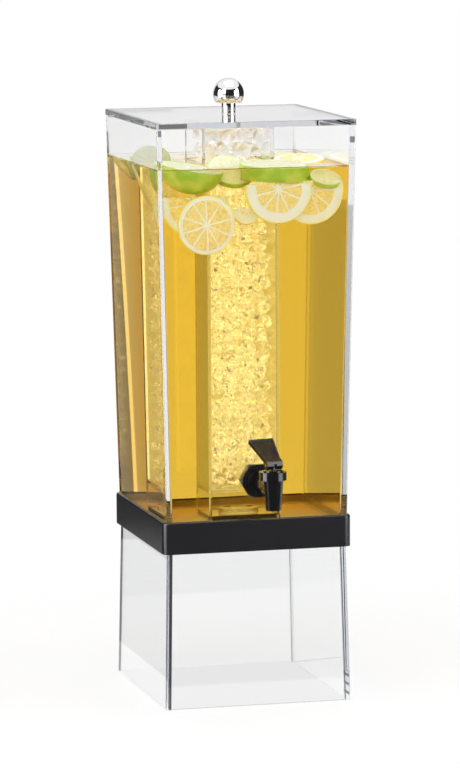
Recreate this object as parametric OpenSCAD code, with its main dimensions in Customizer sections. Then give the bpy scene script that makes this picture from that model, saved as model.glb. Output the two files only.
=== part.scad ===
// Ice core beverage dispenser: a clear open stand, a black ring, a clear drafted reservoir with a
// lever tap, a square core that holds the ice, and a flat lid with a ball knob.
// Millimetres, +Z up. The origin is on the floor under the middle of the stand. The tap faces -Y.

/* [Reservoir] */
// Outside width of the reservoir at its rim
reservoir_w = 214; // [180:1:260]
// Outside depth of the reservoir at its rim
reservoir_d = 237; // [200:1:280]
// Height of the reservoir from its underside to its rim
reservoir_h = 427; // [330:1:520]
// Thickness of the reservoir's walls
reservoir_wall = 6; // [3:0.1:8]
// Thickness of the reservoir's floor
reservoir_floor = 5; // [3:0.1:8]
// Outside radius of the reservoir's upright corners
reservoir_corner_r = 1.5; // [0.5:0.1:14]
// Draft of the reservoir's and the stand's walls in degrees
draft_deg = 1.26; // [0.2:0.01:2]
// Diameter of the round boss on the floor that centres the core
boss_d = 43; // [30:0.5:56]
// Height of the boss above the floor
boss_h = 12; // [8:0.5:20]
// Width of the lip round the boss's dished top
boss_lip = 5; // [3:0.5:8]
// Depth of the dish in the boss's top
boss_dish = 1.5; // [0.5:0.1:3]

/* [Ring] */
// Depth that the reservoir sits down into the ring
seat_depth = 16; // [10:0.5:24]
// Thickness of the shelf that carries the reservoir
shelf_t = 5; // [3:0.5:8]
// Width of the shelf, inwards from the ring's wall
shelf_w = 14; // [10:0.5:30]
// Depth that the stand goes up into the ring
socket_depth = 13; // [8:0.5:20]
// Thickness of the ring's wall round the reservoir
ring_wall = 3.6; // [2.5:0.1:6]
// Thickness of the ring's wall round the stand
ring_skirt = 5.1; // [3:0.1:7]
// Outside radius of the ring's upright corners
ring_corner_r = 8; // [6:0.5:16]
// Radius of the ring's rounded top edge
ring_edge_r = 3; // [1:0.1:3.2]
// Gap between the ring and the lift-out reservoir
ring_clearance = 0.4; // [0.3:0.05:1]
// Gap between the ring and the bonded stand
bond_gap = 0.1; // [0.05:0.05:0.3]

/* [Stand] */
// Height of the stand below the ring
stand_h = 165; // [100:1:240]
// Thickness of the stand's walls
stand_wall = 6; // [3:0.1:8]
// Outside radius of the stand's upright corners
stand_corner_r = 1.5; // [0.5:0.1:14]

/* [Ice core] */
// Outside width of the square core tube
core_w = 78; // [66:0.5:100]
// Thickness of the core tube's walls
core_wall = 3.5; // [2.5:0.1:4]
// Outside radius of the core tube's edges
core_corner_r = 1.5; // [0.5:0.1:3]
// Gap from the top of the core up to the lid
core_headroom = 7; // [4:0.5:20]
// Height of the ice floor's underside above the reservoir's floor
ice_floor_lift = 31; // [24:0.5:60]
// Thickness of the ice floor
ice_floor_t = 5; // [3:0.5:8]
// Height of the locating plate above the reservoir's floor
locator_lift = 2; // [1:0.5:4]
// Thickness of the locating plate
locator_t = 5; // [3:0.5:6]
// Gap between the locating plate's hole and the boss
boss_clearance = 0.4; // [0.3:0.05:1]

/* [Lid] */
// Overhang of the lid past the reservoir's rim
lid_overhang = 0.5; // [0:0.1:6]
// Thickness of the lid
lid_t = 6; // [4:0.5:10]
// Radius of the lid's corners
lid_corner_r = 3; // [1:0.5:10]
// Diameter of the knob's ball
ball_d = 33.4; // [26:0.1:45]
// Distance from the ball's centre down to its flat
ball_flat = 9.5; // [7:0.1:11.5]
// Diameter of the knob's neck and foot
neck_d = 15; // [11:0.1:15]
// Height of the knob's neck
neck_h = 8.4; // [5:0.1:20]
// Height of the foot under the neck
foot_h = 3.6; // [2:0.1:6]
// Diameter of the knob's screw
screw_d = 5; // [4:0.1:6]
// Gap between the screw and the holes it passes through
screw_clearance = 0.2; // [0.1:0.05:0.4]
// Depth that the screw goes up into the ball
screw_grip = 8; // [5:0.5:12]
// Diameter of the screw's head
screw_head_d = 9.5; // [8:0.1:12]
// Height of the screw's head
screw_head_h = 2.6; // [1.5:0.1:3.5]

/* [Tap body] */
// Height of the tap's axis above the reservoir's floor
tap_lift = 52; // [40:0.5:120]
// Distance from the reservoir's wall to the nozzle's axis
tap_reach = 66; // [50:0.5:90]
// Diameter of the threaded shank
shank_d = 16; // [13:0.5:19]
// Gap between the shank and what it passes through
shank_clearance = 0.25; // [0.1:0.05:0.5]
// Length of shank left past the lock nut
shank_proud = 3; // [1:0.5:8]
// Diameter of the waterway through the shank
waterway_d = 9; // [6:0.5:10]
// Thickness of each gasket at the tap's axis
gasket_t = 2; // [1.5:0.1:4]
// Diameter of the gaskets
gasket_d = 29; // [24:0.5:31]
// Size across the flats of the outside hexagon collar
collar_af = 34.5; // [32:0.5:42]
// Thickness of the hexagon collar
collar_t = 6; // [3:0.5:10]
// Diameter of the tap's round flange
flange_d = 31.5; // [27:0.5:34]
// Thickness of each step of the flange
flange_t = 3; // [2:0.1:5]
// Diameter of the flange's front step
flange_step_d = 25.5; // [21:0.5:27]
// Diameter of the tap's neck
tap_neck_d = 18; // [14:0.5:20]
// Size across the flats of the lock nut
nut_af = 30; // [24:0.5:36]
// Thickness of the lock nut
nut_t = 8; // [5:0.5:12]

/* [Nozzle and valve] */
// Outside diameter at the nozzle's mouth
nozzle_d = 15.8; // [13.5:0.1:18]
// Drop from the tap's axis to the nozzle's mouth
nozzle_drop = 22; // [14:0.5:40]
// Diameter of the hole in the nozzle
outlet_d = 10; // [6:0.1:10.5]
// Outside diameter at the top of the barrel
barrel_d = 22.4; // [21.5:0.1:28]
// Rise from the tap's axis to the top of the barrel
barrel_rise = 18; // [16:0.5:26]
// Diameter of the shoulder behind the barrel
shoulder_d = 28.5; // [24:0.5:34]
// Distance that the shoulder is set back from the nozzle's axis
shoulder_set = 2; // [0:0.5:10]
// Height of the shoulder
shoulder_h = 8.5; // [5:0.5:12]
// Diameter of the valve chamber
chamber_d = 13.6; // [12:0.1:14]
// Drop from the tap's axis to the valve's seat
seat_drop = 7; // [5:0.5:9]
// Diameter of the silicone seat cup
cup_d = 12; // [11:0.1:12.8]
// Height of the seat cup
cup_h = 6; // [4:0.5:8]
// Thickness of the seat cup's floor
cup_floor = 2; // [1:0.5:3]
// Diameter of the valve stem
stem_d = 5; // [4:0.1:5.5]
// Running gap between the stem and the bonnet
stem_clearance = 0.08; // [0.03:0.01:0.1]
// Diameter of the bonnet's plug socket in the barrel
socket_d = 16.8; // [15.5:0.1:17.4]
// Length of the bonnet's plug
plug_h = 6; // [5:0.5:8]
// Diameter of the bonnet's rim
bonnet_d = 20.6; // [19:0.1:21.4]
// Thickness of the bonnet's rim
bonnet_t = 2; // [1.5:0.1:4]
// Thickness of the seal ring round the plug
seal_d = 1.6; // [1:0.1:2]
// Wire thickness of the valve's spring
spring_wire = 1; // [0.6:0.1:1.2]
// Diameter of the spring at the middle of its wire
spring_d = 8.2; // [7.5:0.1:10]
// Number of curls in the spring
spring_curls = 5; // [3:1:6]

/* [Lever] */
// Angle that the lever is swivelled about the nozzle's axis
lever_turn = 12; // [-20:1:20]
// Width of the lever at its foot
lever_foot_w = 18; // [12:0.5:22]
// Radius of the lever's foot round its pin
lever_foot_r = 5; // [4:0.1:7]
// Gap between the lever's foot and the bonnet
lever_clearance = 0.3; // [0.2:0.05:0.6]
// Width of the lever at its tip
lever_tip_w = 28; // [20:0.5:36]
// Length of the lever's paddle
paddle_l = 31; // [22:0.5:45]
// Thickness of the paddle
paddle_t = 5; // [3.5:0.1:7]
// Angle of the paddle above level
paddle_lean = 33; // [20:1:60]
// Width of the rim round the paddle's recess
paddle_rim = 2; // [1:0.1:4]
// Depth of the paddle's recess
paddle_recess = 1.4; // [0.5:0.1:2.5]
// Diameter of the lever's pin
pin_d = 2.5; // [2:0.1:3]
// Running gap between the pin and the stem
pin_clearance = 0.06; // [0.03:0.01:0.1]
// Thickness of the stem's flat blade in the lever's slot
blade_t = 2.4; // [1.6:0.1:4]
// Depth of the blade from front to back
blade_d = 4.2; // [3.2:0.1:4.2]
// Gap between the blade and the lever's slot
blade_clearance = 0.3; // [0.2:0.05:0.6]

/* [Hidden] */
$fn = 96;
hull_fn = 32;
// Overshoot of a cut past the face it opens
cut = 1;
// Radius left inside a corner where the sheets are thicker than its outside radius
least_corner_r = 0.5;
// Height of a corner disc that a drafted block is stretched over
skin = 0.01;
// Radial gap between two turned pieces of one assembly that are pressed or glued together
press_gap = 0.02;

// Levels, from the floor up
slope = tan(draft_deg);
ring_z = stand_h;
shelf_z = ring_z + socket_depth;
seat_z = shelf_z + shelf_t;
ring_top_z = seat_z + seat_depth;
floor_z = seat_z + reservoir_floor;
rim_z = seat_z + reservoir_h;
lid_top_z = rim_z + lid_t;
core_top_z = rim_z - core_headroom;
ice_floor_z = floor_z + ice_floor_lift;
neck_z = lid_top_z + foot_h;
ball_flat_z = neck_z + neck_h;
ball_z = ball_flat_z + ball_flat;

// Sizes of the drafted forms at any level
function reservoir_size(z) = [reservoir_w, reservoir_d] - [2, 2] * slope * (rim_z - z);
ring_size = reservoir_size(ring_top_z) + [2, 2] * (ring_clearance + ring_wall);
function stand_size(z) = ring_size - [2, 2] * ring_skirt + [2, 2] * slope * (ring_z - z);
// Radius of a corner at a depth into the sheet, never quite sharp
function inset_radius(r, inset) = max(r - inset, least_corner_r);
lid_size = [reservoir_w, reservoir_d] + [2, 2] * lid_overhang;
core_bore = core_w - 2 * core_wall;

// The tap's stations along Y, from the reservoir's wall outwards and inwards
tap_z = floor_z + tap_lift;
wall_y = -reservoir_size(tap_z)[1] / 2;
collar_y = wall_y - gasket_t;
flange_y = collar_y - collar_t;
nozzle_y = wall_y - tap_reach;
inner_wall_y = wall_y + reservoir_wall;
nut_y = inner_wall_y + gasket_t;
shank_end_y = nut_y + nut_t + shank_proud;

// The valve's levels along the nozzle's axis
mouth_z = tap_z - nozzle_drop;
valve_seat_z = tap_z - seat_drop;
cup_top_z = valve_seat_z + cup_h;
barrel_top_z = tap_z + barrel_rise;
plug_z = barrel_top_z - plug_h;
bonnet_top_z = barrel_top_z + bonnet_t;
pin_z = bonnet_top_z + lever_clearance + lever_foot_r;
plug_d = socket_d - 2 * bond_gap;
groove_d = plug_d - 2 * seal_d;
groove_h = seal_d + 0.4;
groove_z = plug_z + (plug_h - groove_h) / 2;

// The lever's bend in its own frame: Y back from the pin, Z up from it
bend_y = 2;
bend_z = lever_foot_r + 1.8;
slot_w = blade_t + 2 * blade_clearance;
eye_r = blade_d / 2 + blade_clearance;
slot_r = eye_r + 2 * blade_clearance;

// Shared shapes
module corner_discs(size, r, z) {
    for (sx = [-1, 1], sy = [-1, 1])
        translate([sx * (size[0] / 2 - r), sy * (size[1] / 2 - r), z])
            cylinder(r = r, h = skin, $fn = hull_fn);
}

module drafted_block(size_low, size_high, z_low, z_high, r) {
    hull() {
        corner_discs(size_low, r, z_low);
        corner_discs(size_high, r, z_high - skin);
    }
}

// The reservoir's outside moved inwards by inset, between two levels
module reservoir_block(inset, z_low, z_high) {
    trim = [2, 2] * inset;
    drafted_block(reservoir_size(z_low) - trim, reservoir_size(z_high) - trim,
        z_low, z_high, inset_radius(reservoir_corner_r, inset));
}

module stand_block(inset, z_low, z_high) {
    trim = [2, 2] * inset;
    drafted_block(stand_size(z_low) - trim, stand_size(z_high) - trim,
        z_low, z_high, inset_radius(stand_corner_r, inset));
}

module rounded_plate(size, r, h) {
    linear_extrude(h) {
        square([size[0] - 2 * r, size[1]], center = true);
        square([size[0], size[1] - 2 * r], center = true);
        for (sx = [-1, 1], sy = [-1, 1])
            translate([sx * (size[0] / 2 - r), sy * (size[1] / 2 - r)]) circle(r = r);
    }
}

module square_plate(w, z, h) {
    translate([-w / 2, -w / 2, z]) cube([w, w, h]);
}

// A round bar along the tap's axis, from y towards the front
module tap_bar(y, d, length) {
    translate([0, y, tap_z]) rotate([90, 0, 0]) cylinder(d = d, h = length);
}

module tap_hexagon(y, af, length) {
    translate([0, y, tap_z]) rotate([90, 0, 0]) cylinder(d = af / cos(30), h = length, $fn = 6);
}

// Everything on one side of the drafted front wall's plane at y, side 1 behind it and -1 before it
module wall_side(y, side) {
    reach = 4 * gasket_d;
    translate([0, y, tap_z]) rotate([draft_deg, 0, 0])
        translate([-reach / 2, side > 0 ? 0 : -reach, -reach / 2]) cube(reach);
}

// Places a form drawn round the lever's pin
module at_pin() {
    translate([0, nozzle_y, pin_z]) rotate([0, 0, lever_turn]) children();
}

module cross_bar(d, length) {
    translate([-length / 2, 0, 0]) rotate([0, 90, 0]) cylinder(d = d, h = length);
}

// Stand and ring
module stand() {
    color("whitesmoke", 0.35) difference() {
        stand_block(0, 0, shelf_z);
        stand_block(stand_wall, -cut, shelf_z + cut);
    }
}

module ring_outside() {
    hull() {
        corner_discs(ring_size, ring_corner_r, ring_z);
        for (turn = [0 : 22.5 : 90]) {
            inset = ring_edge_r * (1 - cos(turn));
            corner_discs(ring_size - [2, 2] * inset, ring_corner_r - inset,
                ring_top_z - skin - ring_edge_r * (1 - sin(turn)));
        }
    }
}

module base_ring() {
    opening = stand_size(shelf_z) - [2, 2] * shelf_w;
    color([0.13, 0.13, 0.14]) difference() {
        ring_outside();
        reservoir_block(-ring_clearance, seat_z, ring_top_z + cut);
        stand_block(-bond_gap, ring_z - cut, shelf_z);
        translate([0, 0, shelf_z - cut]) rounded_plate(opening, stand_corner_r, shelf_t + 2 * cut);
    }
}

// Reservoir
module container() {
    color("whitesmoke", 0.35) {
        difference() {
            reservoir_block(0, seat_z, rim_z);
            reservoir_block(reservoir_wall, floor_z, rim_z + cut);
            tap_bar(inner_wall_y + gasket_d / 2, shank_d + 2 * shank_clearance,
                reservoir_wall + gasket_d);
        }
        translate([0, 0, floor_z]) difference() {
            cylinder(d = boss_d, h = boss_h);
            translate([0, 0, boss_h - boss_dish])
                cylinder(d = boss_d - 2 * boss_lip, h = boss_dish + cut);
        }
    }
}

// Ice core
module core_tube() {
    height = core_top_z - floor_z;
    color("aliceblue", 0.35) translate([0, 0, floor_z]) difference() {
        rounded_plate([core_w, core_w], core_corner_r, height);
        square_plate(core_bore, -cut, height + 2 * cut);
    }
}

module ice_floor() {
    color("aliceblue", 0.35) square_plate(core_bore, ice_floor_z, ice_floor_t);
}

module core_locator() {
    color("aliceblue", 0.35) difference() {
        square_plate(core_bore, floor_z + locator_lift, locator_t);
        translate([0, 0, floor_z]) cylinder(d = boss_d + 2 * boss_clearance, h = ice_floor_lift);
    }
}

// Lid and knob
module lid_plate() {
    color("whitesmoke", 0.35) difference() {
        translate([0, 0, rim_z]) rounded_plate(lid_size, lid_corner_r, lid_t);
        translate([0, 0, rim_z - cut]) cylinder(d = screw_d + 2 * screw_clearance, h = lid_t + 2 * cut);
    }
}

module knob_turning(z, h) {
    color("silver") translate([0, 0, z]) difference() {
        cylinder(d = neck_d, h = h);
        translate([0, 0, -cut]) cylinder(d = screw_d + 2 * screw_clearance, h = h + 2 * cut);
    }
}

module knob_foot() {
    knob_turning(lid_top_z, foot_h);
}

module knob_neck() {
    knob_turning(neck_z, neck_h);
}

module knob_ball() {
    color("silver") difference() {
        translate([0, 0, ball_z]) sphere(d = ball_d);
        translate([0, 0, ball_flat_z - ball_d]) cylinder(d = 2 * ball_d, h = ball_d);
        translate([0, 0, ball_flat_z - cut])
            cylinder(d = screw_d + 2 * press_gap, h = screw_grip + 2 * cut);
    }
}

module knob_screw() {
    color("gainsboro") {
        translate([0, 0, rim_z - screw_head_h]) cylinder(d = screw_head_d, h = screw_head_h);
        translate([0, 0, rim_z - cut]) cylinder(d = screw_d, h = ball_flat_z + screw_grip - rim_z + cut);
    }
}

// Tap
module tap_body() {
    color([0.07, 0.07, 0.08]) {
        difference() {
            union() {
                tap_bar(shank_end_y, shank_d, shank_end_y - flange_y);
                tap_bar(flange_y, flange_d, flange_t);
                tap_bar(flange_y, flange_step_d, 2 * flange_t);
                tap_bar(flange_y, tap_neck_d, flange_y - nozzle_y);
                translate([0, nozzle_y, mouth_z])
                    cylinder(d1 = nozzle_d, d2 = barrel_d, h = barrel_top_z - mouth_z);
                translate([0, nozzle_y + shoulder_set, barrel_top_z - shoulder_h])
                    cylinder(d = shoulder_d, h = shoulder_h);
            }
            tap_bar(shank_end_y + cut, waterway_d, shank_end_y + cut - nozzle_y);
            translate([0, nozzle_y, mouth_z - cut]) cylinder(d = outlet_d, h = nozzle_drop);
            translate([0, nozzle_y, valve_seat_z]) cylinder(d = chamber_d, h = barrel_top_z - valve_seat_z);
            translate([0, nozzle_y, plug_z - cut]) cylinder(d = socket_d, h = plug_h + 2 * cut);
        }
    }
}

module tap_collar() {
    color([0.09, 0.09, 0.1]) difference() {
        tap_hexagon(collar_y, collar_af, collar_t);
        tap_bar(collar_y + cut, shank_d + 2 * shank_clearance, collar_t + 2 * cut);
    }
}

// The gaskets are pressed to the slope of the wall
module outer_gasket() {
    color("dimgray") difference() {
        tap_bar(wall_y + gasket_t, gasket_d, 2 * gasket_t);
        wall_side(wall_y, 1);
        tap_bar(wall_y + 2 * gasket_t, shank_d + 2 * shank_clearance, 4 * gasket_t);
    }
}

module inner_gasket() {
    color("dimgray") difference() {
        tap_bar(nut_y, gasket_d, 2 * gasket_t);
        wall_side(inner_wall_y, -1);
        tap_bar(nut_y + gasket_t, shank_d + 2 * shank_clearance, 4 * gasket_t);
    }
}

module lock_nut() {
    color([0.09, 0.09, 0.1]) difference() {
        tap_hexagon(nut_y + nut_t, nut_af, nut_t);
        tap_bar(nut_y + nut_t + cut, shank_d + 2 * shank_clearance, nut_t + 2 * cut);
    }
}

module bonnet() {
    color([0.09, 0.09, 0.1]) translate([0, nozzle_y, 0]) difference() {
        union() {
            translate([0, 0, plug_z]) cylinder(d = plug_d, h = plug_h);
            translate([0, 0, barrel_top_z]) cylinder(d = bonnet_d, h = bonnet_t);
        }
        translate([0, 0, groove_z]) difference() {
            cylinder(d = socket_d + 2 * cut, h = groove_h);
            translate([0, 0, -cut]) cylinder(d = groove_d, h = groove_h + 2 * cut);
        }
        translate([0, 0, plug_z - cut])
            cylinder(d = stem_d + 2 * stem_clearance, h = plug_h + bonnet_t + 2 * cut);
    }
}

module bonnet_seal() {
    ring_r = groove_d / 2 + seal_d / 2 + press_gap;
    color("dimgray") translate([0, nozzle_y, groove_z + groove_h / 2])
        rotate_extrude() translate([ring_r, 0]) circle(d = seal_d, $fn = 24);
}

module valve_stem() {
    color("darkgray") difference() {
        union() {
            translate([0, nozzle_y, valve_seat_z + cup_floor])
                cylinder(d = stem_d, h = bonnet_top_z - valve_seat_z - cup_floor);
            at_pin() {
                cross_bar(2 * eye_r, blade_t);
                translate([-blade_t / 2, -blade_d / 2, bonnet_top_z - cut - pin_z])
                    cube([blade_t, blade_d, pin_z - bonnet_top_z + cut]);
            }
        }
        at_pin() cross_bar(pin_d + 2 * pin_clearance, lever_foot_w);
    }
}

module seat_cup() {
    color("gainsboro") translate([0, nozzle_y, valve_seat_z]) difference() {
        cylinder(d = cup_d, h = cup_h);
        translate([0, 0, cup_floor]) cylinder(d = stem_d + 2 * press_gap, h = cup_h);
    }
}

// The spring is one wire, swept as rings of points round a helix
ring_sides = 6;
rings_per_curl = 8;
spring_rings = spring_curls * rings_per_curl;
spring_low_z = cup_top_z + spring_wire / 2 + bond_gap;
spring_high_z = plug_z - spring_wire / 2 - bond_gap;
spring_pitch = (spring_high_z - spring_low_z) / spring_curls;

function spring_centre(i) = let (turn = 360 * i / rings_per_curl)
    [spring_d / 2 * cos(turn), spring_d / 2 * sin(turn), spring_low_z + spring_pitch * i / rings_per_curl];

function spring_ring(i) = let (turn = 360 * i / rings_per_curl, c = spring_centre(i))
    [for (k = [0 : ring_sides - 1]) let (a = 360 * k / ring_sides)
        c + spring_wire / 2 * [cos(a) * cos(turn), cos(a) * sin(turn), sin(a)]];

echo(spring_least_gap = min([for (i = [0 : spring_rings - rings_per_curl])
    norm(spring_centre(i + rings_per_curl) - spring_centre(i)) - spring_wire]));

module valve_spring() {
    points = [for (i = [0 : spring_rings]) each spring_ring(i)];
    last = spring_rings * ring_sides;
    walls = [for (i = [0 : spring_rings - 1], k = [0 : ring_sides - 1])
        let (a = i * ring_sides + k, b = i * ring_sides + (k + 1) % ring_sides)
        each [[a, a + ring_sides, b], [b, a + ring_sides, b + ring_sides]]];
    ends = [for (k = [1 : ring_sides - 2]) each [[0, k, k + 1], [last, last + k + 1, last + k]]];
    color("silver") translate([0, nozzle_y, 0]) polyhedron(points, concat(walls, ends));
}

// Lever
module at_paddle() {
    translate([0, bend_y, bend_z]) rotate([paddle_lean, 0, 0]) children();
}

// The lever from its side, drawn long at the tip
module lever_side() {
    along = [cos(paddle_lean), sin(paddle_lean)];
    down = paddle_t * [sin(paddle_lean), -cos(paddle_lean)];
    bend = [bend_y, bend_z];
    tip = bend + (paddle_l + cut) * along;
    heel = [for (turn = [180 : 10 : 360]) lever_foot_r * [cos(turn), sin(turn)]];
    brow = lever_foot_r * [-0.7, 0.8];
    translate([-lever_tip_w, 0, 0]) rotate([90, 0, 90]) linear_extrude(2 * lever_tip_w)
        polygon(concat(heel, [bend + down, tip + down, tip, bend, brow]));
}

// The lever square to its paddle, parallel along the foot and flared to the tip
module lever_front() {
    foot = lever_foot_w / 2;
    tip = lever_tip_w / 2;
    low = -4 * lever_foot_r;
    at_paddle() translate([0, 0, low]) linear_extrude(-2 * low)
        polygon([[-foot, low], [foot, low], [foot, 0], [tip, paddle_l], [-tip, paddle_l], [-foot, 0]]);
}

module lever_recess() {
    low = lever_foot_w / 2 - paddle_rim;
    high = lever_tip_w / 2 - paddle_rim;
    far = paddle_l - paddle_rim;
    at_paddle() translate([0, 0, -paddle_recess]) linear_extrude(paddle_t)
        polygon([[-low, paddle_rim], [low, paddle_rim], [high, far], [-high, far]]);
}

module lever_slot() {
    low = 2 * lever_foot_r;
    translate([-slot_w / 2, -low, -low]) cube([slot_w, 2 * low, low + 0.5 * eye_r]);
    cross_bar(2 * slot_r, slot_w);
}

module lever() {
    color([0.07, 0.07, 0.08]) at_pin() difference() {
        intersection() {
            lever_side();
            lever_front();
        }
        lever_recess();
        lever_slot();
        cross_bar(pin_d + 2 * press_gap, 2 * lever_foot_w);
    }
}

module lever_pin() {
    color("silver") at_pin() cross_bar(pin_d, lever_foot_w);
}

stand();
base_ring();
container();
core_tube();
ice_floor();
core_locator();
lid_plate();
knob_foot();
knob_neck();
knob_ball();
knob_screw();
tap_body();
tap_collar();
outer_gasket();
inner_gasket();
lock_nut();
bonnet();
bonnet_seal();
valve_stem();
seat_cup();
valve_spring();
lever();
lever_pin();
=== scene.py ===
# %% [markdown]
# # A drink dispenser with an ice core
#
# The real object is a tall box of clear acrylic that holds a cold drink. A square acrylic tube full of
# ice stands in the middle and cools the drink without watering it down. A black ring joins the box to a
# clear stand, a black tap sits low at the front, and a clear lid with a chrome knob closes the top.
#
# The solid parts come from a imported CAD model, which fixes every size and every joint. This lesson loads
# that model first and then builds the looks round it, in metres and in the same place.

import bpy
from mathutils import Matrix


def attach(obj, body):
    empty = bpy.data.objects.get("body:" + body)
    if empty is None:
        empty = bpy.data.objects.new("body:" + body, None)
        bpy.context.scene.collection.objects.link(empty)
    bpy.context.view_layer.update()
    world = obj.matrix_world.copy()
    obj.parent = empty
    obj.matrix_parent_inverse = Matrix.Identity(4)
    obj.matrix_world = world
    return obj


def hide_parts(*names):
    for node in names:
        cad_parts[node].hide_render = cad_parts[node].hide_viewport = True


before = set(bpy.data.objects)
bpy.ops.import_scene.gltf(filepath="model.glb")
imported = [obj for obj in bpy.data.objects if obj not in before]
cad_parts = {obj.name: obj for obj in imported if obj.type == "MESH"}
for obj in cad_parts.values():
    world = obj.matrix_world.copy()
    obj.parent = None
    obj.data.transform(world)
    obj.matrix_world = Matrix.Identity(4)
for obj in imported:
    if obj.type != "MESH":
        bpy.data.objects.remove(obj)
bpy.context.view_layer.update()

# %% [markdown]
# ## Camera
#
# The picture was taken from a little left of the front and a little above, with a long lens, so upright
# edges stay nearly parallel. The angles, the distance and the lens were worked out beforehand from the
# corners of the lid, the ring and the stand. Building the camera's matrix from them by hand keeps the
# small roll, which a Track To constraint would lose.

# %% Camera
import bmesh
import bpy
import math
import random
from mathutils import Matrix, Vector

CAMERA_AZIMUTH, CAMERA_ELEVATION, CAMERA_ROLL = (math.radians(a) for a in (-14.291, 7.532, -0.407))
CAMERA_DISTANCE = 4.8517
CAMERA_AIM = (-0.000525, 0.019063)
AIM_HEIGHT = 0.308
LENS_LENGTH, SENSOR_WIDTH = 212.9, 36

level_reach = math.cos(CAMERA_ELEVATION)
back = Vector((math.sin(CAMERA_AZIMUTH) * level_reach, -math.cos(CAMERA_AZIMUTH) * level_reach,
               math.sin(CAMERA_ELEVATION)))
right = Vector((math.cos(CAMERA_AZIMUTH), math.sin(CAMERA_AZIMUTH), 0))
up = back.cross(right)
aim = Vector((0, 0, AIM_HEIGHT)) + right * CAMERA_AIM[0] + up * CAMERA_AIM[1]
picture_x = right * math.cos(CAMERA_ROLL) + up * math.sin(CAMERA_ROLL)
picture_y = up * math.cos(CAMERA_ROLL) - right * math.sin(CAMERA_ROLL)

lens = bpy.data.cameras.new("photo_camera")
lens.lens, lens.sensor_width = LENS_LENGTH, SENSOR_WIDTH
camera = bpy.data.objects.new("photo_camera", lens)
scene = bpy.context.scene
scene.collection.objects.link(camera)
camera.matrix_world = Matrix((picture_x, picture_y, back)).transposed().to_4x4()
camera.location = aim + back * CAMERA_DISTANCE
scene.camera = camera
print("camera stands at", [round(c, 3) for c in camera.location])

# %% [markdown]
# ## Helpers for nodes
#
# World, cards and finishes are all built from nodes, and a few helpers do the typing. A socket knows the
# tree that it is in, so no helper needs to be told. Light Path says what kind of ray is looking.

# %% Helpers for nodes
def feed(value, socket):
    """Gives a socket a plain value or the output of another node."""
    if isinstance(value, bpy.types.NodeSocket):
        socket.id_data.links.new(value, socket)
    else:
        socket.default_value = value


def add_node(beside, kind, inputs):
    """A new node in the tree of another one, with its inputs fed."""
    node = beside.id_data.nodes.new(kind)
    for label, value in inputs.items():
        feed(value, node.inputs[label])
    return node


def maths(operation, a, b=0):
    """The result of a Math node on a node's output and another value."""
    node = a.id_data.nodes.new("ShaderNodeMath")
    node.operation = operation
    feed(a, node.inputs[0])
    feed(b, node.inputs[1])
    return node.outputs[0]


def ranged(value, low, high, out_low, out_high, smooth=False):
    """Maps a value's range to another one, held at its ends."""
    node = value.id_data.nodes.new("ShaderNodeMapRange")
    node.interpolation_type = "SMOOTHSTEP" if smooth else "LINEAR"
    for number, socket in zip((value, low, high, out_low, out_high), node.inputs):
        feed(number, socket)
    return node.outputs[0]


def new_finish(name, settings):
    """A new material and its shader with the given settings."""
    material = bpy.data.materials.new(name)
    material.use_nodes = True
    shader = material.node_tree.nodes["Principled BSDF"]
    for label, value in settings.items():
        feed(value, shader.inputs[label])
    return material, shader


def mix_shaders(share, first, second):
    """Sends a mix of two shaders to the material's surface."""
    mix = add_node(first, "ShaderNodeMixShader", {})
    for value, socket in zip((share, first.outputs[0], second.outputs[0]), mix.inputs):
        feed(value, socket)
    feed(mix.outputs[0], mix.id_data.nodes["Material Output"].inputs["Surface"])


def seen_directly(beside):
    """A value that is 1 for rays of the camera, of reflections and of refractions, and 0 for the rest."""
    path = add_node(beside, "ShaderNodeLightPath", {})
    value = path.outputs["Is Camera Ray"]
    for kind in ("Is Glossy Ray", "Is Transmission Ray"):
        value = maths("MAXIMUM", value, path.outputs[kind])
    return value


print("helpers for nodes are ready")

# %% [markdown]
# ## Studio
#
# Clear plastic has hardly any colour of its own: what the eye reads is the white behind it, the dark
# things beside it and the bright things in front of it. So the studio is half of the material here. The
# world is plain white wherever the camera, a reflection or a refraction looks at it. The floor is pale,
# keeps the soft shadow near the object and fades into that white further out. Long paths through many
# clear walls need many bounces, or they end in black.

# %% World
CLEAR_BOUNCES, MATT_BOUNCES = 200, 6
AMBIENT = 0.78

scene.view_settings.view_transform = "Standard"
scene.cycles.max_bounces = CLEAR_BOUNCES
scene.cycles.transmission_bounces = CLEAR_BOUNCES
scene.cycles.glossy_bounces = CLEAR_BOUNCES
scene.cycles.diffuse_bounces = MATT_BOUNCES
scene.cycles.blur_glossy = 0

world = bpy.data.worlds.new("white_studio")
world.use_nodes = True
scene.world = world
sky = world.node_tree.nodes["Background"]
feed((1, 1, 1, 1), sky.inputs["Color"])
feed(ranged(seen_directly(sky), 0, 1, AMBIENT, 1), sky.inputs["Strength"])
print("the world is white where it is seen and lights the object with", AMBIENT)

# %% Floor
FLOOR_REACH = 4
FADE_START, FADE_END, NEAR_WHITE = 0.2, 0.75, 0.55


def stage_card(name, corners, material):
    """A flat stage card through its corners."""
    data = bpy.data.meshes.new(name)
    data.from_pydata([Vector(c) for c in corners], [], [range(len(corners))])
    made = bpy.data.objects.new(name, data)
    scene.collection.objects.link(made)
    data.materials.append(material)
    return made


def level(z, x_low, x_high, y_low, y_high):
    """The corners of a card that lies flat."""
    return [(x_low, y_low, z), (x_high, y_low, z), (x_high, y_high, z), (x_low, y_high, z)]


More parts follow.
